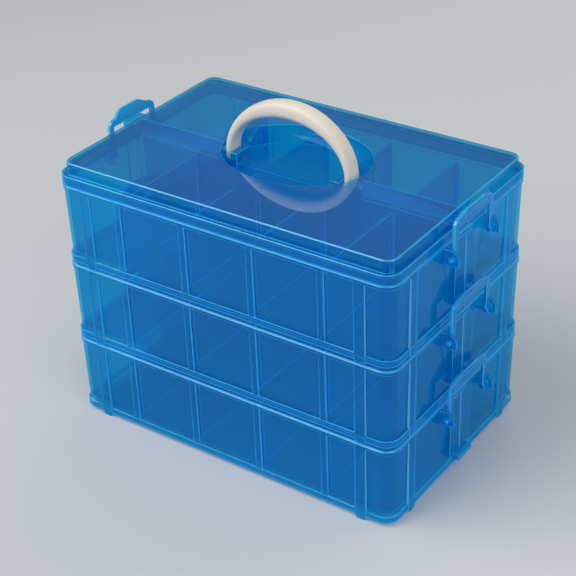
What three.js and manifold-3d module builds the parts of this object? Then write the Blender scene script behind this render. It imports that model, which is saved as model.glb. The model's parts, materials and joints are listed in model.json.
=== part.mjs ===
// Sewing box: three stacked compartment trays, a lid with a folding carry handle, and six side latches.
// Millimetres. +Z is up, +X runs along the long front edge, +Y points to the back.
// The origin is the centre of the footprint on the surface the box stands on.
import * as THREE from 'three';
import * as BufferGeometryUtils from 'three/addons/utils/BufferGeometryUtils.js';
import Module from 'manifold-3d';

// ---------- driving dimensions ----------
const LENGTH = 320;            // along X, over the tray rims
const WIDTH = 212.6;           // along Y, over the tray rims
const RIM_RADIUS = 13;         // plan radius of the rim corners
const CLEARANCE = 0.3;         // gap between stacked or touching pieces
const CORNER_STEPS = 5;        // facets in each quarter-round plan corner
const OVERLAP = 0.5;           // joined shapes run into each other by this much
const PAST = 1;                // a cutting shape runs past the face it opens by this much

// One tray, measured from the underside of its feet.
const TRAY_HEIGHT = 73.7;      // feet to rim top
const TRAY_PITCH = TRAY_HEIGHT + CLEARANCE;
const SKIRT_BOTTOM = 3.3;      // lower edge of the base skirt
const SKIRT_TOP = 9.1;         // step where the skirt meets the wall
const SKIRT_INSET = 0.4;       // skirt face behind the rim face
const SKIRT_THICKNESS = 1.2;
const FLOOR_TOP = 11.1;
const WALL_INSET_TOP = 1.2;    // wall face behind the rim face, just under the rim
const WALL_INSET_BOTTOM = 2.2; // the same at the floor: the mould draft
const RIM_DEPTH = 3.4;         // height of the rim flange
const TONGUE_INSET = 2;        // locating tongue behind the rim face
const TONGUE_THICKNESS = 1.4;
const TONGUE_HEIGHT = 5.6;     // tongue above the rim top
const CORE_WALL = 2;           // long centre wall, thickness

// Vertical ribs and divider guides.
const RIB_WIDTH = 10;
const RIB_X = 131;             // ribs on the long faces
const RIB_Y = 75;              // ribs on the end faces
const RIB_ROOT = 3;            // ribs, strips and lugs start this far behind the rim face, inside the wall
const FOOT_SHOULDER = 2.4;     // the feet narrow below this height
const FOOT_TAPER = 1.6;
const GUIDE_X = [-97.2, -32.4, 32.4, 97.2];
const GUIDE_STRIP_WIDTH = 6.5; // raised strip outside each guide
const GUIDE_STRIP_INSET = 0.5;
const GUIDE_SLOT = 2.4;
const GUIDE_RAIL = 1.5;        // thickness of each rail beside the slot
const GUIDE_DEPTH = 3;
const GUIDE_TOP = 69;
const DIVIDER_THICKNESS = 1.8;
const DIVIDER_TOP = 71.5;

// End-face latch hardware.
const PILASTER_WIDTH = 32;
const PILASTER_REACH = 1;      // pilaster face beyond the rim face
const PILASTER_CHAMFER = 4;    // height of the slanted lower corners
const RIDGE_WIDTH = 2.4;       // upright ridge down the middle of the pilaster
const RIDGE_REACH = 0.8;
const LUG_WIDTH = 20.6;        // catch lug at the foot of each pilaster
const LUG_REACH = 7;           // lug nose beyond the rim face
const LUG_LOW = 9.5;
const LUG_HIGH = 15.5;
const LUG_BEVEL = 1.9;         // 45 degree bevel on the nose
const EAR_Y = 32;              // centre plane of each pivot ear
const EAR_THICKNESS = 2.6;
const EAR_REACH = 13.2;
const EAR_ROUND = 7.5;         // radius of the upper outer corner
const EAR_LOW = 58.4;
const EAR_HIGH = 72.4;
const PIVOT_OUT = 6.35;        // latch pivot beyond the rim face
const PIVOT_Z = 63.6;
const PIN_RADIUS = 1.6;
const PIN_HOLE_RADIUS = 2;
const LATCH_HALF_WIDTH = 30.1;
const LATCH_LEG = 5.6;
const LATCH_THICKNESS = 2.7;
const LATCH_KNUCKLE = 2.9;     // radius of the rounded leg ends
const LATCH_IN = 5;            // inner latch face beyond the rim face
const LATCH_SHOULDER = 96;     // crossbar height beside the thumb tab
const LATCH_TOP = 101.2;       // top of the thumb tab
const LATCH_LIP_OUT = 10;      // top of the thumb tab beyond the rim face
const HOOK_GAP = 0.5;          // crossbar above the lug, measured upright

// Lid, measured from its own underside.
const LID_FLANGE = 9;          // outer band height
const LID_HEIGHT = 18.5;
const LID_PANEL = 2;
const LID_FLANGE_THICKNESS = 1.6;
const LID_SKIRT_INSET_X = 3.6; // upper skirt behind the flange, end faces
const LID_SKIRT_INSET_Y = 4.8; // upper skirt behind the flange, long faces
const LID_DRAFT = 0.7;
const LID_SKIRT_RADIUS = 9;
const RECESS_CENTRE_Y = 8;
const RECESS_A = 66.5;         // half length of the oval handle recess
const RECESS_B = 52;           // half width
const RECESS_DEPTH = 16.9;
const RECESS_WALL = 2;
const RECESS_FLOOR = 1.3;
const RECESS_DRAFT = 0.6;
const WEB_LOW = 3;             // stiffening webs under the panel reach down to here
const WEB_THICKNESS = 2;
const WEB_END = 5.8;           // outer end of each web behind the rim face
const BEARING_X0 = 46.5;       // bearing block on the inner side of each handle leg
const BEARING_X1 = 52.8;
const BEARING_FRONT = -11;
const BEARING_BACK = 8.5;
const BEARING_DROP = 4;        // top of the block below the lid top

// Handle, measured from its pivot line.
const HANDLE_PIVOT_DROP = 8.6; // pivot line below the lid top
const HANDLE_RISE = 3.6;       // centre of both arch ovals above the pivot line
const HANDLE_OUTER_A = 61.3;   // half spans and heights of the arch ovals
const HANDLE_OUTER_B = 52.9;
const HANDLE_INNER_A = 54.3;
const HANDLE_INNER_B = 37.7;
const HANDLE_DEPTH = 16;       // front to back; also the diameter of the leg ends
const HANDLE_ROUND_IN = 2.6;   // rounding of the long edges, across the arch
const HANDLE_ROUND_DEEP = 5;   // rounding of the long edges, front to back
const HANDLE_LEAN = 5;         // degrees back from upright
const HANDLE_PIN_RADIUS = 2.5;
const HANDLE_PIN_HOLE = 2.9;
const HANDLE_PIN_REACH = 2.2;  // pin end beyond the recess wall line
const HANDLE_HOLE_REACH = 3.4; // hole end beyond the same line

const HALF_X = LENGTH / 2;
const HALF_Y = WIDTH / 2;
const LID_Z = 3 * TRAY_PITCH;
const LID_TOP_Z = LID_Z + LID_HEIGHT;
const PIVOT_LINE_Z = LID_TOP_Z - HANDLE_PIVOT_DROP;

// ---------- solid modelling helpers ----------
const wasm = await Module();
wasm.setup();

function solid(geometry) {
  geometry.deleteAttribute('normal');
  geometry.deleteAttribute('uv');
  const merged = BufferGeometryUtils.mergeVertices(geometry, 1e-4);
  return new wasm.Manifold(new wasm.Mesh({
    numProp: 3,
    vertProperties: new Float32Array(merged.attributes.position.array),
    triVerts: new Uint32Array(merged.index.array),
  }));
}

function geometryOf(body) {
  const mesh = body.getMesh();
  const geometry = new THREE.BufferGeometry();
  geometry.setAttribute('position', new THREE.BufferAttribute(mesh.vertProperties, 3));
  geometry.setIndex(new THREE.BufferAttribute(mesh.triVerts, 1));
  const flat = geometry.toNonIndexed();
  flat.computeVertexNormals();
  return flat;
}

const join = (parts) => wasm.Manifold.union(parts);

// Rectangle with quarter-round corners, centred on the origin.
function roundedRectangle(halfX, halfY, radius) {
  const points = [];
  for (const [sx, sy, start] of [[1, -1, -90], [1, 1, 0], [-1, 1, 90], [-1, -1, 180]]) {
    for (let step = 0; step <= CORNER_STEPS; step += 1) {
      const angle = THREE.MathUtils.degToRad(start + 90 * step / CORNER_STEPS);
      const x = sx * (halfX - radius) + radius * Math.cos(angle);
      const y = sy * (halfY - radius) + radius * Math.sin(angle);
      points.push(new THREE.Vector2(x, y));
    }
  }
  return new THREE.Shape(points);
}

// Rounded block between two heights whose faces move by growth from bottom to top.
function block(halfX, halfY, radius, low, high, growth = 0) {
  const shape = roundedRectangle(halfX, halfY, radius);
  const geometry = new THREE.ExtrudeGeometry(shape, { depth: high - low, bevelEnabled: false, steps: 1 });
  const position = geometry.attributes.position;
  for (let i = 0; i < position.count; i += 1) {
    const up = position.getZ(i) > (high - low) / 2;
    const x = position.getX(i) * (up ? (halfX + growth) / halfX : 1);
    const y = position.getY(i) * (up ? (halfY + growth) / halfY : 1);
    position.setXYZ(i, x, y, position.getZ(i) + low);
  }
  return solid(geometry);
}

function box(x0, x1, y0, y1, z0, z1) {
  const geometry = new THREE.BoxGeometry(x1 - x0, y1 - y0, z1 - z0);
  geometry.translate((x0 + x1) / 2, (y0 + y1) / 2, (z0 + z1) / 2);
  return solid(geometry);
}

// Outline drawn in the XZ plane and given a thickness along Y.
function plateXZ(points, y0, y1) {
  const shape = new THREE.Shape(points.map(([x, z]) => new THREE.Vector2(x, z)));
  const geometry = new THREE.ExtrudeGeometry(shape, { depth: y1 - y0, bevelEnabled: false, steps: 1 });
  geometry.rotateX(Math.PI / 2);
  geometry.translate(0, y1, 0);
  return solid(geometry);
}

// Outline drawn in the YZ plane and given a thickness along X.
function plateYZ(points, x0, x1) {
  const shape = new THREE.Shape(points.map(([y, z]) => new THREE.Vector2(y, z)));
  const geometry = new THREE.ExtrudeGeometry(shape, { depth: x1 - x0, bevelEnabled: false, steps: 1 });
  geometry.rotateX(Math.PI / 2);
  geometry.rotateZ(Math.PI / 2);
  geometry.translate(x0, 0, 0);
  return solid(geometry);
}

function rodAlongY(x, z, y0, y1, radius, sides = 12) {
  const geometry = new THREE.CylinderGeometry(radius, radius, y1 - y0, sides);
  geometry.translate(x, (y0 + y1) / 2, z);
  return solid(geometry);
}

function rodAlongX(y, z, x0, x1, radius, sides = 12) {
  const geometry = new THREE.CylinderGeometry(radius, radius, x1 - x0, sides);
  geometry.rotateZ(Math.PI / 2);
  geometry.translate((x0 + x1) / 2, y, z);
  return solid(geometry);
}

// Oval prism centred at (0, centreY).
function ovalPrism(a, b, centreY, low, high, growth = 0, sides = 32) {
  const geometry = new THREE.CylinderGeometry(1, 1, high - low, sides);
  geometry.rotateX(Math.PI / 2);
  const position = geometry.attributes.position;
  for (let i = 0; i < position.count; i += 1) {
    const extra = position.getZ(i) > 0 ? growth : 0;
    position.setXYZ(
      i,
      position.getX(i) * (a + extra),
      position.getY(i) * (b + extra) + centreY,
      position.getZ(i) + (low + high) / 2,
    );
  }
  return solid(geometry);
}

const bothEnds = (body) => [body, body.mirror([1, 0, 0])];
const bothSides = (body) => [body, body.mirror([0, 1, 0])];

// ---------- catch lug: the latch of the piece below hooks over it ----------
function catchLug(root) {
  const nose = HALF_X + LUG_REACH;
  const low = LUG_LOW;
  const high = LUG_HIGH;
  const outline = [
    [root, low],
    [nose - 1, low],
    [nose, low + 1],
    [nose, high - LUG_BEVEL],
    [nose - LUG_BEVEL, high],
    [root, high],
  ];
  return plateXZ(outline, -LUG_WIDTH / 2, LUG_WIDTH / 2);
}

// ---------- tray ----------
function trayShell() {
  const wallX = HALF_X - WALL_INSET_BOTTOM;
  const wallY = HALF_Y - WALL_INSET_BOTTOM;
  const draft = WALL_INSET_BOTTOM - WALL_INSET_TOP;
  const wallRadius = RIM_RADIUS - WALL_INSET_BOTTOM;
  const skirtX = HALF_X - SKIRT_INSET;
  const skirtY = HALF_Y - SKIRT_INSET;
  const skirtRadius = RIM_RADIUS - SKIRT_INSET;
  const tongueX = HALF_X - TONGUE_INSET;
  const tongueY = HALF_Y - TONGUE_INSET;
  const tongueRadius = RIM_RADIUS - TONGUE_INSET;
  const outside = join([
    block(wallX, wallY, wallRadius, SKIRT_TOP - OVERLAP, TRAY_HEIGHT - OVERLAP, draft),
    block(HALF_X, HALF_Y, RIM_RADIUS, TRAY_HEIGHT - RIM_DEPTH, TRAY_HEIGHT),
    block(skirtX, skirtY, skirtRadius, SKIRT_BOTTOM, SKIRT_TOP),
    block(tongueX, tongueY, tongueRadius, TRAY_HEIGHT - 2 * OVERLAP, TRAY_HEIGHT + TONGUE_HEIGHT),
  ]);
  const inner = TONGUE_INSET + TONGUE_THICKNESS;
  const inside = block(
    HALF_X - inner - draft,
    HALF_Y - inner - draft,
    RIM_RADIUS - inner,
    FLOOR_TOP,
    TRAY_HEIGHT + TONGUE_HEIGHT + PAST,
    draft,
  );
  const under = block(
    skirtX - SKIRT_THICKNESS,
    skirtY - SKIRT_THICKNESS,
    skirtRadius - SKIRT_THICKNESS,
    SKIRT_BOTTOM - PAST,
    SKIRT_TOP,
  );
  return outside.subtract(join([inside, under]));
}

// Inner face of a long wall, taken at mid height.
const innerWallY = HALF_Y - TONGUE_INSET - TONGUE_THICKNESS - 0.5;

// Ribs run from a foot under the skirt up to the rim. Below the floor they are only as deep as the
// skirt, so that the tongue of the tray below passes behind them.
function trayRibs() {
  const high = TRAY_HEIGHT - RIM_DEPTH + OVERLAP;
  const half = RIB_WIDTH / 2;
  const skirtBack = SKIRT_INSET + SKIRT_THICKNESS;
  const foot = (centre) => [
    [centre - half + FOOT_TAPER, 0],
    [centre + half - FOOT_TAPER, 0],
    [centre + half, FOOT_SHOULDER],
    [centre + half, SKIRT_TOP + OVERLAP],
    [centre - half, SKIRT_TOP + OVERLAP],
    [centre - half, FOOT_SHOULDER],
  ];
  const parts = [];
  for (const x of [-RIB_X, RIB_X]) {
    parts.push(...bothSides(plateXZ(foot(x), HALF_Y - skirtBack, HALF_Y)));
    parts.push(...bothSides(box(x - half, x + half, HALF_Y - RIB_ROOT, HALF_Y, SKIRT_TOP, high)));
  }
  for (const y of [-RIB_Y, RIB_Y]) {
    parts.push(...bothEnds(plateYZ(foot(y), HALF_X - skirtBack, HALF_X)));
    parts.push(...bothEnds(box(HALF_X - RIB_ROOT, HALF_X, y - half, y + half, SKIRT_TOP, high)));
  }
  const width = GUIDE_STRIP_WIDTH / 2;
  const face = HALF_Y - GUIDE_STRIP_INSET;
  for (const x of GUIDE_X) {
    parts.push(...bothSides(box(x - width, x + width, HALF_Y - RIB_ROOT, face, SKIRT_TOP, high)));
  }
  return parts;
}

function dividerGuides() {
  const parts = [];
  const slot = GUIDE_SLOT / 2;
  const low = FLOOR_TOP - OVERLAP;
  for (const x of GUIDE_X) {
    for (const side of [-1, 1]) {
      const x0 = side > 0 ? x + slot : x - slot - GUIDE_RAIL;
      const x1 = x0 + GUIDE_RAIL;
      parts.push(...bothSides(box(x0, x1, innerWallY - GUIDE_DEPTH, innerWallY + 1.2, low, GUIDE_TOP)));
      parts.push(...bothSides(box(x0, x1, CORE_WALL / 2 - 0.4, CORE_WALL / 2 + GUIDE_DEPTH, low, GUIDE_TOP)));
    }
  }
  return parts;
}

function endHardware() {
  const half = PILASTER_WIDTH / 2;
  const high = TRAY_HEIGHT - RIM_DEPTH + OVERLAP;
  const lugHalf = LUG_WIDTH / 2;
  const face = HALF_X + PILASTER_REACH;
  const pilaster = plateYZ([
    [-lugHalf, LUG_LOW],
    [lugHalf, LUG_LOW],
    [half, LUG_LOW + PILASTER_CHAMFER],
    [half, high],
    [-half, high],
    [-half, LUG_LOW + PILASTER_CHAMFER],
  ], HALF_X - RIB_ROOT, face);
  const ridge = box(face - 1, face + RIDGE_REACH, -RIDGE_WIDTH / 2, RIDGE_WIDTH / 2, LUG_HIGH - 1, high);
  const tip = HALF_X + EAR_REACH;
  const ear = [[HALF_X - 2, EAR_LOW], [tip - 1.2, EAR_LOW], [tip, EAR_LOW + 1.2]];
  const steps = 5;
  for (let i = 0; i <= steps; i += 1) {
    const angle = Math.PI / 2 * i / steps;
    const x = tip - EAR_ROUND + EAR_ROUND * Math.cos(angle);
    ear.push([x, EAR_HIGH - EAR_ROUND + EAR_ROUND * Math.sin(angle)]);
  }
  ear.push([HALF_X - 2, EAR_HIGH]);
  const y0 = EAR_Y - EAR_THICKNESS / 2;
  const y1 = EAR_Y + EAR_THICKNESS / 2;
  const hole = rodAlongY(HALF_X + PIVOT_OUT, PIVOT_Z, y0 - PAST, y1 + PAST, PIN_HOLE_RADIUS);
  const ears = bothSides(plateXZ(ear, y0, y1).subtract(hole));
  return [pilaster, ridge, catchLug(HALF_X - RIB_ROOT), ...ears].flatMap(bothEnds);
}

function tray() {
  const end = HALF_X - RIB_ROOT;
  const core = box(-end, end, -CORE_WALL / 2, CORE_WALL / 2, FLOOR_TOP - OVERLAP, TRAY_HEIGHT);
  return join([trayShell(), core, ...trayRibs(), ...dividerGuides(), ...endHardware()]);
}

// ---------- removable divider ----------
function divider(x, side) {
  const half = DIVIDER_THICKNESS / 2;
  const near = CORE_WALL / 2 + CLEARANCE;
  const lowFar = innerWallY - 0.5 - CLEARANCE;
  const highFar = innerWallY + 0.5 - CLEARANCE;
  const low = FLOOR_TOP + CLEARANCE;
  const outline = [
    [near, low],
    [lowFar, low],
    [highFar, DIVIDER_TOP - 1.5],
    [highFar - 1.5, DIVIDER_TOP],
    [near + 1.5, DIVIDER_TOP],
    [near, DIVIDER_TOP - 1.5],
  ];
  const plate = plateYZ(outline, x - half, x + half);
  return side > 0 ? plate : plate.mirror([0, 1, 0]);
}

// ---------- latch: a frame that pivots on two ears and hooks over the catch lug above ----------
function latch() {
  const inner = HALF_X + LATCH_IN;
  const outer = inner + LATCH_THICKNESS;
  const lip = HALF_X + LATCH_LIP_OUT;
  const lugTop = TRAY_PITCH + LUG_HIGH;
  const bevelStart = HALF_X + LUG_REACH - LUG_BEVEL;
  const hookZ = (x) => lugTop + bevelStart - x + HOOK_GAP;
  const half = LATCH_HALF_WIDTH;
  const crossbar = plateXZ([
    [inner, hookZ(inner)],
    [outer, hookZ(outer)],
    [outer, LATCH_SHOULDER - 2],
    [outer + 0.5, LATCH_SHOULDER + 1],
    [lip - 0.5, LATCH_TOP - 1.4],
    [lip, LATCH_TOP - 0.7],
    [lip - 0.7, LATCH_TOP],
    [outer, LATCH_TOP - 0.6],
    [inner + 0.8, LATCH_TOP - 2.8],
    [inner, LATCH_SHOULDER],
  ], -half, half);
  const pivotX = HALF_X + PIVOT_OUT;
  const legs = bothSides(box(inner, outer, half - LATCH_LEG, half, PIVOT_Z, lugTop + 3));
  const knuckles = bothSides(rodAlongY(pivotX, PIVOT_Z, half - LATCH_LEG, half, LATCH_KNUCKLE, 14));
  const pins = bothSides(rodAlongY(pivotX, PIVOT_Z, half - 1, EAR_Y + EAR_THICKNESS / 2, PIN_RADIUS));
  // Upper outline seen from the end face: rounded shoulders either side of a taller thumb tab.
  const shoulder = [
    [half + 0.1, LATCH_SHOULDER - 7],
    [half - 1.5, LATCH_SHOULDER - 3],
    [half - 4.5, LATCH_SHOULDER - 0.8],
    [half - 9, LATCH_SHOULDER],
    [half - 13, LATCH_SHOULDER + 2.2],
    [half - 17, LATCH_TOP - 1],
    [half - 22, LATCH_TOP + 0.1],
  ];
  const outline = [
    [-half - 0.1, PIVOT_Z - 10],
    [half + 0.1, PIVOT_Z - 10],
    ...shoulder,
    ...shoulder.slice().reverse().map(([y, z]) => [-y, z]),
  ];
  const envelope = plateYZ(outline, inner - 10, lip + 10);
  const frame = join([crossbar, ...legs, ...knuckles]).intersect(envelope);
  return join([frame, ...pins]);
}

// ---------- lid ----------
function lid() {
  const skirtX = HALF_X - LID_SKIRT_INSET_X;
  const skirtY = HALF_Y - LID_SKIRT_INSET_Y;
  const top = LID_HEIGHT;
  const outside = join([
    block(HALF_X, HALF_Y, RIM_RADIUS, 0, LID_FLANGE),
    block(skirtX, skirtY, LID_SKIRT_RADIUS, LID_FLANGE - OVERLAP, top, -LID_DRAFT),
    ...bothEnds(catchLug(HALF_X - 5)),
  ]);
  const flangeX = HALF_X - LID_FLANGE_THICKNESS;
  const flangeY = HALF_Y - LID_FLANGE_THICKNESS;
  const inside = join([
    block(flangeX, flangeY, RIM_RADIUS - LID_FLANGE_THICKNESS, -PAST, LID_FLANGE - LID_PANEL),
    block(
      skirtX - LID_PANEL,
      skirtY - LID_PANEL,
      LID_SKIRT_RADIUS - LID_PANEL,
      0,
      top - LID_PANEL,
      -LID_DRAFT,
    ),
  ]);
  const shell = outside.subtract(inside);
  const recessLow = top - RECESS_DEPTH;
  const bowl = ovalPrism(
    RECESS_A + RECESS_WALL,
    RECESS_B + RECESS_WALL,
    RECESS_CENTRE_Y,
    recessLow - RECESS_FLOOR,
    top,
  );
  const webHalf = WEB_THICKNESS / 2;
  const webs = bothEnds(box(RECESS_A - 2, HALF_X - WEB_END, -webHalf, webHalf, WEB_LOW, top - 1));
  const pocket = ovalPrism(
    RECESS_A - RECESS_DRAFT,
    RECESS_B - RECESS_DRAFT,
    RECESS_CENTRE_Y,
    recessLow,
    top + PAST,
    RECESS_DRAFT,
  );
  const pinZ = top - HANDLE_PIVOT_DROP;
  const sockets = bothEnds(rodAlongX(0, pinZ, RECESS_A - 6, RECESS_A + HANDLE_HOLE_REACH, HANDLE_PIN_HOLE));
  const bearings = bothEnds(box(
    BEARING_X0,
    BEARING_X1,
    BEARING_FRONT,
    BEARING_BACK,
    recessLow - OVERLAP,
    top - BEARING_DROP,
  ));
  const hollowed = join([shell, bowl, ...webs]).subtract(join([pocket, ...sockets]));
  return join([hollowed, ...bearings]);
}

// ---------- handle ----------
function arc(centreX, centreZ, radiusX, radiusZ, from, to, steps) {
  const points = [];
  for (let i = 0; i <= steps; i += 1) {
    const angle = Math.PI * (from + (to - from) * i / steps);
    points.push([centreX + radiusX * Math.cos(angle), centreZ + radiusZ * Math.sin(angle)]);
  }
  return points;
}

// Bar bent to an arch, thin at the legs and tall at the grip, with half-round leg ends on two pins.
function handle() {
  const bevel = HANDLE_ROUND_IN;
  const legCentre = (HANDLE_OUTER_A + HANDLE_INNER_A) / 2;
  const radius = HANDLE_DEPTH / 2;
  const outline = [
    [HANDLE_OUTER_A - bevel, bevel - radius - 1],
    ...arc(0, HANDLE_RISE, HANDLE_OUTER_A - bevel, HANDLE_OUTER_B - bevel, 0, 1, 24),
    [bevel - HANDLE_OUTER_A, bevel - radius - 1],
    [-HANDLE_INNER_A - bevel, bevel - radius - 1],
    ...arc(0, HANDLE_RISE, HANDLE_INNER_A + bevel, HANDLE_INNER_B + bevel, 1, 0, 24),
    [HANDLE_INNER_A + bevel, bevel - radius - 1],
  ];
  const shape = new THREE.Shape(outline.map(([x, z]) => new THREE.Vector2(x, z)));
  const flat = HANDLE_DEPTH - 2 * HANDLE_ROUND_DEEP;
  const geometry = new THREE.ExtrudeGeometry(shape, {
    depth: flat,
    steps: 1,
    bevelThickness: HANDLE_ROUND_DEEP,
    bevelSize: bevel,
    bevelSegments: 4,
  });
  geometry.translate(0, 0, -flat / 2);
  geometry.rotateX(Math.PI / 2);
  const reach = HANDLE_OUTER_A + 5;
  const side = arc(0, 0, radius, radius, 1, 2, 12);
  const envelope = plateYZ([...side, [radius + 1, 80], [-radius - 1, 80]], -reach, reach);
  const bar = solid(geometry).intersect(envelope);
  const pins = bothEnds(rodAlongX(0, 0, legCentre, RECESS_A + HANDLE_PIN_REACH, HANDLE_PIN_RADIUS));
  return join([bar, ...pins]).rotate([-HANDLE_LEAN, 0, 0]);
}

// ---------- assembly ----------
const sewingBox = new THREE.Group();
sewingBox.name = 'sewing_box_with_trays';

function place(name, body, colour, roughness, offset = [0, 0, 0]) {
  const material = new THREE.MeshStandardMaterial({ color: colour, roughness, metalness: 0 });
  const mesh = new THREE.Mesh(geometryOf(body.translate(offset)), material);
  mesh.name = name;
  sewingBox.add(mesh);
}

const TRAY_BLUE = 0x1673c4;
const LID_BLUE = 0x1c86cf;
const LATCH_BLUE = 0x1f93de;
const DIVIDER_BLUE = 0x2a8fd6;
const HANDLE_CREAM = 0xf3ecdd;

const trayBody = tray();
const rightLatch = latch();
const leftLatch = rightLatch.mirror([1, 0, 0]);
['bottom', 'middle', 'top'].forEach((level, index) => {
  const lift = [0, 0, index * TRAY_PITCH];
  place(`tray_${level}`, trayBody, TRAY_BLUE, 0.16, lift);
  place(`latch_${level}_left`, leftLatch, LATCH_BLUE, 0.18, lift);
  place(`latch_${level}_right`, rightLatch, LATCH_BLUE, 0.18, lift);
  GUIDE_X.forEach((x, slot) => {
    place(`divider_${level}_front_${slot + 1}`, divider(x, -1), DIVIDER_BLUE, 0.2, lift);
    place(`divider_${level}_back_${slot + 1}`, divider(x, 1), DIVIDER_BLUE, 0.2, lift);
  });
});
place('lid', lid(), LID_BLUE, 0.08, [0, 0, LID_Z]);
place('handle', handle(), HANDLE_CREAM, 0.4, [0, 0, PIVOT_LINE_Z]);

export default sewingBox;
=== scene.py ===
import json
import math

import bmesh
import bpy
from mathutils import Matrix, Vector


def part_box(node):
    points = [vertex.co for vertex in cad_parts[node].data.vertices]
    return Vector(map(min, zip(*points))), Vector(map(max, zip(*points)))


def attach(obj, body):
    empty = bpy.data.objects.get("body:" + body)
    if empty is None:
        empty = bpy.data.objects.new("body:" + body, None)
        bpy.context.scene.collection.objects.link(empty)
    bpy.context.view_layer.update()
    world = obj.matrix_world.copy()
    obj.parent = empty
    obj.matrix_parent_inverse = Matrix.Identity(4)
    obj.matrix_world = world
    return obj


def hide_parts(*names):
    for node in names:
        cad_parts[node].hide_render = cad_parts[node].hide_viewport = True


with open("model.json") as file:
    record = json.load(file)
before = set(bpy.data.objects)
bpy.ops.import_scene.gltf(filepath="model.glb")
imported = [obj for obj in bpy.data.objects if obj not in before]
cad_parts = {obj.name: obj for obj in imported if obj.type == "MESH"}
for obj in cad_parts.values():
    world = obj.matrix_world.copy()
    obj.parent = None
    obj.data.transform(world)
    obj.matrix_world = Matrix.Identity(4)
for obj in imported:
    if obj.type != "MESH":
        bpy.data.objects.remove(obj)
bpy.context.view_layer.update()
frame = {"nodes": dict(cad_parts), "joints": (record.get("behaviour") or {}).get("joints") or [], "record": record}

MM = 0.001


# ---------------------------------------------------------------- node helpers
class Tree:
    """A material's node tree with short calls for the nodes used here."""

    def __init__(self, name):
        self.material = bpy.data.materials.new(name)
        self.material.use_nodes = True
        self.tree = self.material.node_tree
        self.tree.nodes.clear()
        self.out = self.add("ShaderNodeOutputMaterial")
        coords = self.add("ShaderNodeTexCoord")
        self.object = coords.outputs["Object"]

    def add(self, kind, **settings):
        node = self.tree.nodes.new(kind)
        for key, value in settings.items():
            setattr(node, key, value)
        return node

    def link(self, source, target):
        self.tree.links.new(source, target)

    def put(self, socket, value):
        if isinstance(value, bpy.types.NodeSocket):
            self.link(value, socket)
        else:
            socket.default_value = value

    def math(self, operation, a, b=0.0, clamp=False):
        node = self.add("ShaderNodeMath", operation=operation, use_clamp=clamp)
        self.put(node.inputs[0], a)
        self.put(node.inputs[1], b)
        return node.outputs[0]

    def noise(self, scale, detail=3.0, rough=0.5, vector=None):
        node = self.add("ShaderNodeTexNoise")
        node.inputs["Scale"].default_value = scale
        node.inputs["Detail"].default_value = detail
        node.inputs["Roughness"].default_value = rough
        self.link(vector or self.object, node.inputs["Vector"])
        return node.outputs["Fac"]

    def span(self, value, low, high, to_low, to_high):
        node = self.add("ShaderNodeMapRange")
        self.put(node.inputs["Value"], value)
        node.inputs["From Min"].default_value = low
        node.inputs["From Max"].default_value = high
        node.inputs["To Min"].default_value = to_low
        node.inputs["To Max"].default_value = to_high
        return node.outputs["Result"]

    def blend(self, factor, a, b):
        node = self.add("ShaderNodeMix", data_type="RGBA")
        self.put(node.inputs["Factor"], factor)
        self.put(node.inputs[6], a)
        self.put(node.inputs[7], b)
        return node.outputs[2]

    def bump(self, height, strength, distance):
        node = self.add("ShaderNodeBump")
        node.inputs["Strength"].default_value = strength
        node.inputs["Distance"].default_value = distance
        self.link(height, node.inputs["Height"])
        return node.outputs["Normal"]


CLOUD_SCALE = 9.0        # slow variation of tint over a moulding
RUB_SCALE = 60.0         # fine handling wear in the gloss
PLASTIC_IOR = 1.5
EDGE_ON_SCATTER = 0.14   # extra scatter where a wall is seen edge on
GLOSS_BLUE = (0.15, 0.68, 1.0, 1.0)
GLOSS_PALE = (0.8, 0.93, 1.0, 1.0)


def shaded(colour, low, high):
    """Two versions of a colour, a little darker and a little lighter, for the cloudy variation."""
    return tuple(c * low for c in colour) + (1.0,), tuple(min(1.0, c * high) for c in colour) + (1.0,)


def clear_plastic(name, tint, body, opacity, roughness, mirror=1.45, sheen=GLOSS_BLUE, painted_glow=0.0):
    """Tinted see-through plastic: light passes and is filtered, and a part of it scatters in the body. A blue
    emission of the given strength paints a glow into the body.
    """
    t = Tree(name)
    cloud = t.noise(CLOUD_SCALE, 2.0)
    clear = t.add("ShaderNodeBsdfTransparent")
    t.link(t.blend(cloud, *shaded(tint, 0.94, 1.04)), clear.inputs["Color"])
    solid = t.add("ShaderNodeBsdfPrincipled")
    t.link(t.blend(cloud, *shaded(body, 0.9, 1.1)), solid.inputs["Base Color"])
    rubbed = t.span(t.noise(RUB_SCALE, 4.0), 0.3, 0.7, roughness * 0.8, roughness * 1.3)
    t.link(rubbed, solid.inputs["Roughness"])
    solid.inputs["IOR"].default_value = PLASTIC_IOR
    # painted glow: a blue emission that stands in for light piped through the plastic; its strength is the
    # function's last argument
    solid.inputs["Emission Color"].default_value = (0.03, 0.45, 1.0, 1.0)
    solid.inputs["Emission Strength"].default_value = painted_glow
    facing = t.add("ShaderNodeLayerWeight")
    facing.inputs["Blend"].default_value = 0.35
    edge_on = t.math("MULTIPLY", facing.outputs["Facing"], EDGE_ON_SCATTER)
    scatter = t.math("ADD", edge_on, opacity, clamp=True)
    mix = t.add("ShaderNodeMixShader")
    t.link(scatter, mix.inputs[0])
    t.link(clear.outputs[0], mix.inputs[1])
    t.link(solid.outputs[0], mix.inputs[2])
    gloss = t.add("ShaderNodeBsdfGlossy")
    gloss.inputs["Roughness"].default_value = roughness
    gloss.inputs["Color"].default_value = sheen
    fresnel = t.add("ShaderNodeFresnel")
    fresnel.inputs["IOR"].default_value = mirror
    geometry = t.add("ShaderNodeNewGeometry")
    front = t.math("SUBTRACT", 1.0, geometry.outputs["Backfacing"])
    top = t.add("ShaderNodeMixShader")
    t.link(t.math("MULTIPLY", fresnel.outputs[0], front), top.inputs[0])
    t.link(mix.outputs[0], top.inputs[1])
    t.link(gloss.outputs[0], top.inputs[2])
    t.link(top.outputs[0], t.out.inputs["Surface"])
    return t.material


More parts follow.
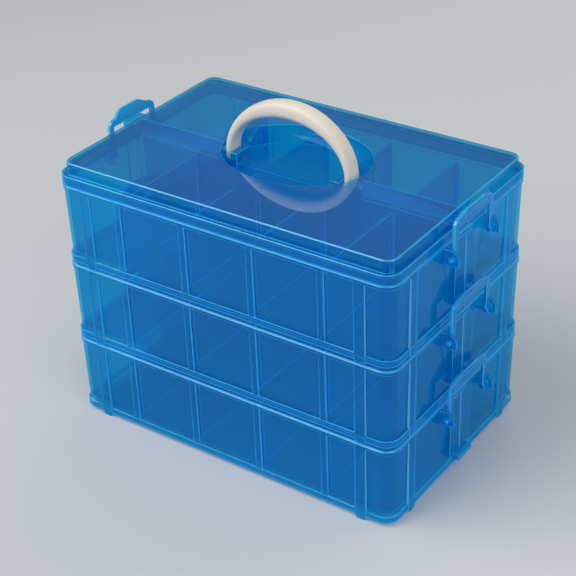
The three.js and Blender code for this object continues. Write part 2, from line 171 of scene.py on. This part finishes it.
def moulded_cream():
    """Opaque cream plastic with a faint moulded grain."""
    t = Tree("cream_plastic")
    solid = t.add("ShaderNodeBsdfPrincipled")
    cloud = t.noise(30.0, 3.0)
    t.link(t.blend(cloud, (0.90, 0.815, 0.66, 1), (0.96, 0.89, 0.76, 1)), solid.inputs["Base Color"])
    t.link(t.span(t.noise(400.0, 4.0), 0.3, 0.7, 0.3, 0.45), solid.inputs["Roughness"])
    t.link(t.bump(t.noise(1500.0, 2.0), 0.05, 0.0002), solid.inputs["Normal"])
    t.link(solid.outputs[0], t.out.inputs["Surface"])
    return t.material


CLEAR = (0.26, 0.79, 0.935)
BODY = (0.002, 0.50, 0.98)
# a slightly brighter body colour for the webs and edges, part of their painted brightness
PAINTED_BRIGHT_BODY = (0.02, 0.55, 1.0)
# each glow strength below is a painted glow, an emission that stands in for light carried in the plastic
tray_plastic = clear_plastic("tray_clear_blue", CLEAR, BODY, 0.12, 0.06, painted_glow=0.05)
lid_plastic = clear_plastic("lid_clear_blue", CLEAR, BODY, 0.12, 0.04)
panel_plastic = clear_plastic("lid_panel_clear_blue", CLEAR, BODY, 0.05, 0.012, 2.0, GLOSS_PALE)
# the centre webs: denser scatter in the body and a stronger painted glow, so that they read brighter
web_glow_plastic = clear_plastic("lid_web_clear_blue_painted_glow", CLEAR, PAINTED_BRIGHT_BODY, 0.42, 0.04, painted_glow=0.12)
latch_plastic = clear_plastic("latch_clear_blue", CLEAR, (0.004, 0.34, 0.80), 0.36, 0.06, painted_glow=0.02)
divider_plastic = clear_plastic("divider_clear_blue", CLEAR, BODY, 0.12, 0.08, painted_glow=0.05)
# cut edges and rounded corners: denser scatter, a pale gloss and the strongest painted glow make them read as
# bright lines
edge_glow_plastic = clear_plastic("edge_clear_blue_painted_glow", CLEAR, PAINTED_BRIGHT_BODY, 0.62, 0.10, 1.8, GLOSS_PALE, 0.16)
cream = moulded_cream()


# ---------------------------------------------------------------- pieces
RIM_TOP = 73.7 * MM      # rim top above the underside of a tray's feet
RIM_HALF_X = 160 * MM
RIM_HALF_Y = 106.3 * MM
RIM_BAND = 12 * MM       # rim edges lie within this of the outer faces
LID_BAND = 18 * MM       # the lid's edges lie within this of them
LID_FLANGE = 9 * MM
LEVEL = 0.02 * MM        # an edge is at a height when both ends are this close to it


def piece_object(name, mesh, body, node, material):
    """A new piece that stands for a CAD node, rides on its body and takes its finish from a slot."""
    obj = bpy.data.objects.new(name, mesh)
    bpy.context.scene.collection.objects.link(obj)
    mesh.materials.append(material)
    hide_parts(node)
    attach(obj, body)
    return obj


def smooth_shading(bm, mesh_name, sharp_degrees):
    """Turn the bmesh into a mesh, shaded smooth except over edges sharper than the angle."""
    for face in bm.faces:
        face.smooth = True
    bmesh.ops.recalc_face_normals(bm, faces=bm.faces)
    mesh = bpy.data.meshes.new(mesh_name)
    bm.to_mesh(mesh)
    bm.free()
    mesh.set_sharp_from_angle(angle=math.radians(sharp_degrees))
    return mesh


PLAIN, EDGE, WEB, PANEL = range(4)   # material slots of a clear piece; the EDGE and WEB slots carry a painted glow
SOCKET_ROOM = 1.6 * MM               # shorter edges of the lid, round the pin sockets, stay sharp
NARROW = 2.3 * MM                    # a face narrower than this takes the edge material, whose painted glow stands in for the light a cut edge pipes


def round_edges(bm, edges, width, segments=3):
    bmesh.ops.bevel(
        bm,
        geom=edges,
        offset=width,
        offset_type="OFFSET",
        segments=segments,
        profile=0.5,
        affect="EDGES",
        clamp_overlap=False,
        miter_outer="ARC",
        # the rounded faces take the edge material with its painted glow
        material=EDGE,
    )


def faces_away(edge):
    """True where an edge's upright face looks away from the middle of the box."""
    middle = (edge.verts[0].co + edge.verts[1].co) / 2
    for face in edge.link_faces:
        if abs(face.normal.z) < 0.3 and face.normal.x * middle.x + face.normal.y * middle.y > 0.0:
            return True
    return False


def rim_edges(bm, height, least_reach):
    """The level, outward edges at one height that lie at least so far out along X or Y."""
    found = []
    for edge in bm.edges:
        if not edge.is_manifold or not edge.is_convex or edge.calc_face_angle() < math.radians(60):
            continue
        if any(abs(vertex.co.z - height) > LEVEL for vertex in edge.verts):
            continue
        middle = (edge.verts[0].co + edge.verts[1].co) / 2
        if max(abs(middle.x) - least_reach.x, abs(middle.y) - least_reach.y) > 0 and faces_away(edge):
            found.append(edge)
    return found


def softened(node, width, rims=()):
    """A node's solid with its flat faces made whole and its outer edges rounded by width."""
    bm = bmesh.new()
    bm.from_mesh(frame["nodes"][node].data)
    bmesh.ops.remove_doubles(bm, verts=bm.verts, dist=2e-6)
    bmesh.ops.dissolve_limit(bm, angle_limit=math.radians(0.1), verts=bm.verts, edges=bm.edges)
    bmesh.ops.dissolve_degenerate(bm, dist=0.04 * MM, edges=bm.edges)
    mark_narrow_faces(bm)
    for height, reach, rim_width in rims:
        round_edges(bm, rim_edges(bm, height, reach), rim_width, 4)
    edges = []
    for edge in bm.edges:
        if not edge.is_manifold or not edge.is_convex or edge.calc_face_angle() < math.radians(35):
            continue
        nearby = [other.calc_length() for vertex in edge.verts for other in vertex.link_edges]
        if min(nearby) > (SOCKET_ROOM if node == "lid" else 2.2 * width):
            edges.append(edge)
    round_edges(bm, edges, width)
    bmesh.ops.remove_doubles(bm, verts=bm.verts, dist=0.004 * MM)
    bmesh.ops.triangulate(bm, faces=[face for face in bm.faces if len(face.verts) > 4])
    bmesh.ops.dissolve_degenerate(bm, dist=0.01 * MM, edges=bm.edges)
    return bm


def smooth_patch(first, seen):
    """The faces that join the first one over shallow edges, such as the facets of a round corner."""
    patch, waiting = [], [first]
    seen.add(first)
    while waiting:
        face = waiting.pop()
        patch.append(face)
        for edge in face.edges:
            if edge.is_manifold and edge.calc_face_angle() < math.radians(28):
                for other in edge.link_faces:
                    if other not in seen:
                        seen.add(other)
                        waiting.append(other)
    return patch


def mark_narrow_faces(bm):
    """Give the edge material, with its painted glow, to every strip whose mean width is under NARROW."""
    seen = set()
    for start in list(bm.faces):
        if start in seen:
            continue
        patch = smooth_patch(start, seen)
        inside = set(patch)
        outline = sum(
            edge.calc_length()
            for face in patch
            for edge in face.edges
            if not all(other in inside for other in edge.link_faces)
        )
        area = sum(face.calc_area() for face in patch)
        if outline > 0 and 2 * area < NARROW * outline:
            for face in patch:
                face.material_index = EDGE


def rims_of(node):
    """Heights, least reach and rounding of the outer rims of a tray or the lid."""
    low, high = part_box(node)
    if node.startswith("tray"):
        top = low.z + RIM_TOP
        return [(top, Vector((RIM_HALF_X - RIM_BAND, RIM_HALF_Y - RIM_BAND, 0)), 0.8 * MM)]
    if node == "lid":
        reach = Vector((RIM_HALF_X - LID_BAND, RIM_HALF_Y - LID_BAND, 0))
        return [(high.z, reach, 1.0 * MM), (low.z + LID_FLANGE, reach, 0.6 * MM)]
    return []


def mark_lid_faces(bm, top):
    """The centre webs take denser scatter and a painted glow that make them brighter, and the level top panel is
    the most polished face.
    """
    for face in bm.faces:
        middle = face.calc_center_median()
        if abs(middle.y) < 1.3 * MM and abs(face.normal.y) > 0.9:
            face.material_index = WEB
        elif abs(middle.z - top) < 0.1 * MM and abs(face.normal.z) > 0.9 and face.material_index == PLAIN:
            face.material_index = PANEL


def soft_piece(node, body, material, width):
    """The rounded moulding that stands for one clear CAD node."""
    bm = softened(node, width, rims_of(node))
    if node == "lid":
        mark_lid_faces(bm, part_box(node)[1].z)
    mesh = smooth_shading(bm, node + "_soft", 38)
    obj = piece_object(node + "_moulding", mesh, body, node, material)
    for extra in (edge_glow_plastic, web_glow_plastic, panel_plastic):
        mesh.materials.append(extra)
    weighted = obj.modifiers.new("even_normals", "WEIGHTED_NORMAL")
    weighted.keep_sharp = True
    weighted.weight = 80
    return obj


def body_of_node(node):
    for body, nodes in frame["record"]["behaviour"]["bodies"].items():
        if node in nodes:
            return body
    raise KeyError(node)


LOOKS = {
    "tray": ("tray_plastic", tray_plastic, 0.25 * MM),
    "divider": ("divider_plastic", divider_plastic, 0.2 * MM),
    "latch": ("latch_plastic", latch_plastic, 0.4 * MM),
    "lid": ("lid_plastic", lid_plastic, 0.35 * MM),
}
for node in frame["nodes"]:
    kind = node.split("_")[0]
    if kind in LOOKS:
        slot, material, width = LOOKS[kind]
        soft_piece(node, body_of_node(node), material, width)

# ---------------------------------------------------------------- handle
HANDLE_SPAN = 57.8 * MM     # middle of the bar: half span and height of the arch
HANDLE_HEIGHT = 45.3 * MM
HANDLE_RISE = 3.6 * MM      # centre of the arch above the pivot line
HANDLE_LEG = 6.9 * MM       # bar thickness at the legs and at the grip
HANDLE_GRIP = 15.1 * MM
HANDLE_DEPTH = 15.9 * MM
HANDLE_LEAN = math.radians(5)
HANDLE_PIN = 2.45 * MM      # pin radius
HANDLE_PIN_LENGTH = 10.8 * MM
LEG_STEPS = 8
ARCH_STEPS = 72
SECTION_POINTS = 28
SECTION_POWER = 2 / 2.8     # superellipse: a bar between round and square in section


def handle_stations():
    """Middle, outward direction, thickness and depth of the bar, from the right leg end to the left."""
    stations = []
    radius = HANDLE_DEPTH / 2
    for step in range(LEG_STEPS + 1):
        z = -radius * math.cos(math.pi / 2 * step / LEG_STEPS) * 0.995
        depth = 2 * math.sqrt(max(radius ** 2 - z ** 2, 0))
        squeeze = min(1.0, 0.55 + 0.45 * step / 3)
        stations.append((HANDLE_SPAN, z, Vector((1, 0, 0)), HANDLE_LEG * squeeze, depth))
    mirrored = [(-x, z, Vector((-1, 0, 0)), thick, depth) for x, z, _, thick, depth in reversed(stations)]
    for step in range(ARCH_STEPS + 1):
        angle = math.pi * step / ARCH_STEPS
        x = HANDLE_SPAN * math.cos(angle)
        z = HANDLE_RISE + HANDLE_HEIGHT * math.sin(angle)
        outward = Vector((math.cos(angle) / HANDLE_SPAN, 0, math.sin(angle) / HANDLE_HEIGHT)).normalized()
        thick = HANDLE_LEG + (HANDLE_GRIP - HANDLE_LEG) * math.sin(angle) ** 2
        stations.append((x, z, outward, thick, HANDLE_DEPTH))
    return stations + mirrored


def rounded(value):
    """Sine or cosine bent towards the sides of a superellipse."""
    return math.copysign(abs(value) ** SECTION_POWER, value)


def build_handle():
    """The arched bar with half-round leg ends and its two pins, leaned back on the pivot line."""
    fold = next(joint for joint in frame["joints"] if joint["name"] == "handle_fold")
    pivot_z = fold["pos_m"][2]
    bm = bmesh.new()
    rings = []
    for x, z, outward, thick, depth in handle_stations():
        ring = []
        for step in range(SECTION_POINTS):
            angle = 2 * math.pi * step / SECTION_POINTS
            across = outward * (thick / 2 * rounded(math.cos(angle)))
            deep = Vector((0, depth / 2 * rounded(math.sin(angle)), 0))
            ring.append(bm.verts.new(Vector((x, 0, z)) + across + deep))
        rings.append(ring)
    for first, second in zip(rings, rings[1:]):
        for step in range(SECTION_POINTS):
            after = (step + 1) % SECTION_POINTS
            bm.faces.new((first[step], first[after], second[after], second[step]))
    bm.faces.new(rings[0][::-1])
    bm.faces.new(rings[-1])
    turn = Matrix.Rotation(math.radians(90), 4, "Y")
    for side in (-1, 1):
        shift = Matrix.Translation((side * (HANDLE_SPAN + HANDLE_PIN_LENGTH / 2), 0, 0))
        made = bmesh.ops.create_cone(
            bm, cap_ends=True, segments=32, radius1=HANDLE_PIN, radius2=HANDLE_PIN,
            depth=HANDLE_PIN_LENGTH, matrix=shift @ turn,
        )
        ends = {edge for vertex in made["verts"] for edge in vertex.link_edges}
        ends = [edge for edge in ends if edge.calc_face_angle() > math.radians(60)]
        round_edges(bm, ends, 0.4 * MM)
    lean = Matrix.Translation((0, 0, pivot_z)) @ Matrix.Rotation(-HANDLE_LEAN, 4, "X")
    bmesh.ops.transform(bm, matrix=lean, verts=bm.verts)
    return smooth_shading(bm, "handle_bar", 50)


piece_object("carry_handle", build_handle(), "handle", "handle", cream)

# ---------------------------------------------------------------- floor, lights, camera
bpy.ops.mesh.primitive_plane_add(size=12.0, location=(0, 0, 0))
floor = bpy.context.object
floor.name = "floor"
paper = bpy.data.materials.new("floor_paper")
paper.use_nodes = True
paper_shader = paper.node_tree.nodes["Principled BSDF"]
paper_shader.inputs["Base Color"].default_value = (0.72, 0.73, 0.74, 1)
paper_shader.inputs["Roughness"].default_value = 0.9
floor.data.materials.append(paper)

world = bpy.data.worlds.new("studio")
bpy.context.scene.world = world
world.use_nodes = True
world.node_tree.nodes["Background"].inputs["Color"].default_value = (0.93, 0.95, 1.0, 1)
world.node_tree.nodes["Background"].inputs["Strength"].default_value = 0.16


def area_light(name, place, target, size, power):
    data = bpy.data.lights.new(name, "AREA")
    data.shape = "RECTANGLE"
    data.size, data.size_y = size
    data.energy = power
    obj = bpy.data.objects.new(name, data)
    bpy.context.scene.collection.objects.link(obj)
    obj.location = place
    obj.rotation_euler = (Vector(target) - Vector(place)).to_track_quat("-Z", "Y").to_euler()
    return obj


area_light("key", (-0.9, -1.1, 1.5), (0, 0, 0.1), (1.9, 1.9), 30)
area_light("fill", (1.4, -0.5, 0.9), (0, 0, 0.1), (1.4, 1.6), 9)
back_light = area_light("back", (0.3, 1.5, 1.2), (0, 0, 0.15), (2.6, 1.5), 14)
back_light.visible_glossy = False

CAMERA_PLACE = (0.63276, -0.89339, 0.78392)
AZIMUTH, ELEVATION, ROLL = -54.3735, 31.3084, -2.0971   # degrees
LENS = 94.61796                                         # millimetres, on a 36 mm sensor
camera_data = bpy.data.cameras.new("camera")
camera = bpy.data.objects.new("camera", camera_data)
bpy.context.scene.collection.objects.link(camera)
bpy.context.scene.camera = camera
camera_data.sensor_width = 36.0
camera_data.lens = LENS
camera_data.clip_start = 0.05
camera_data.clip_end = 30
azimuth, elevation, roll = (math.radians(a) for a in (AZIMUTH, ELEVATION, ROLL))
back = Vector((
    math.cos(elevation) * math.cos(azimuth),
    math.cos(elevation) * math.sin(azimuth),
    math.sin(elevation),
))
right = (-back).cross(Vector((0, 0, 1))).normalized()
up = right.cross(-back)
right_rolled = right * math.cos(roll) + up * math.sin(roll)
up_rolled = up * math.cos(roll) - right * math.sin(roll)
camera.matrix_world = Matrix.Translation(CAMERA_PLACE) @ Matrix(
    (right_rolled, up_rolled, back)
).transposed().to_4x4()

scene = bpy.context.scene
scene.view_settings.view_transform = "Standard"
scene.cycles.transparent_max_bounces = 64   # a sight line crosses many clear walls
scene.cycles.max_bounces = 12
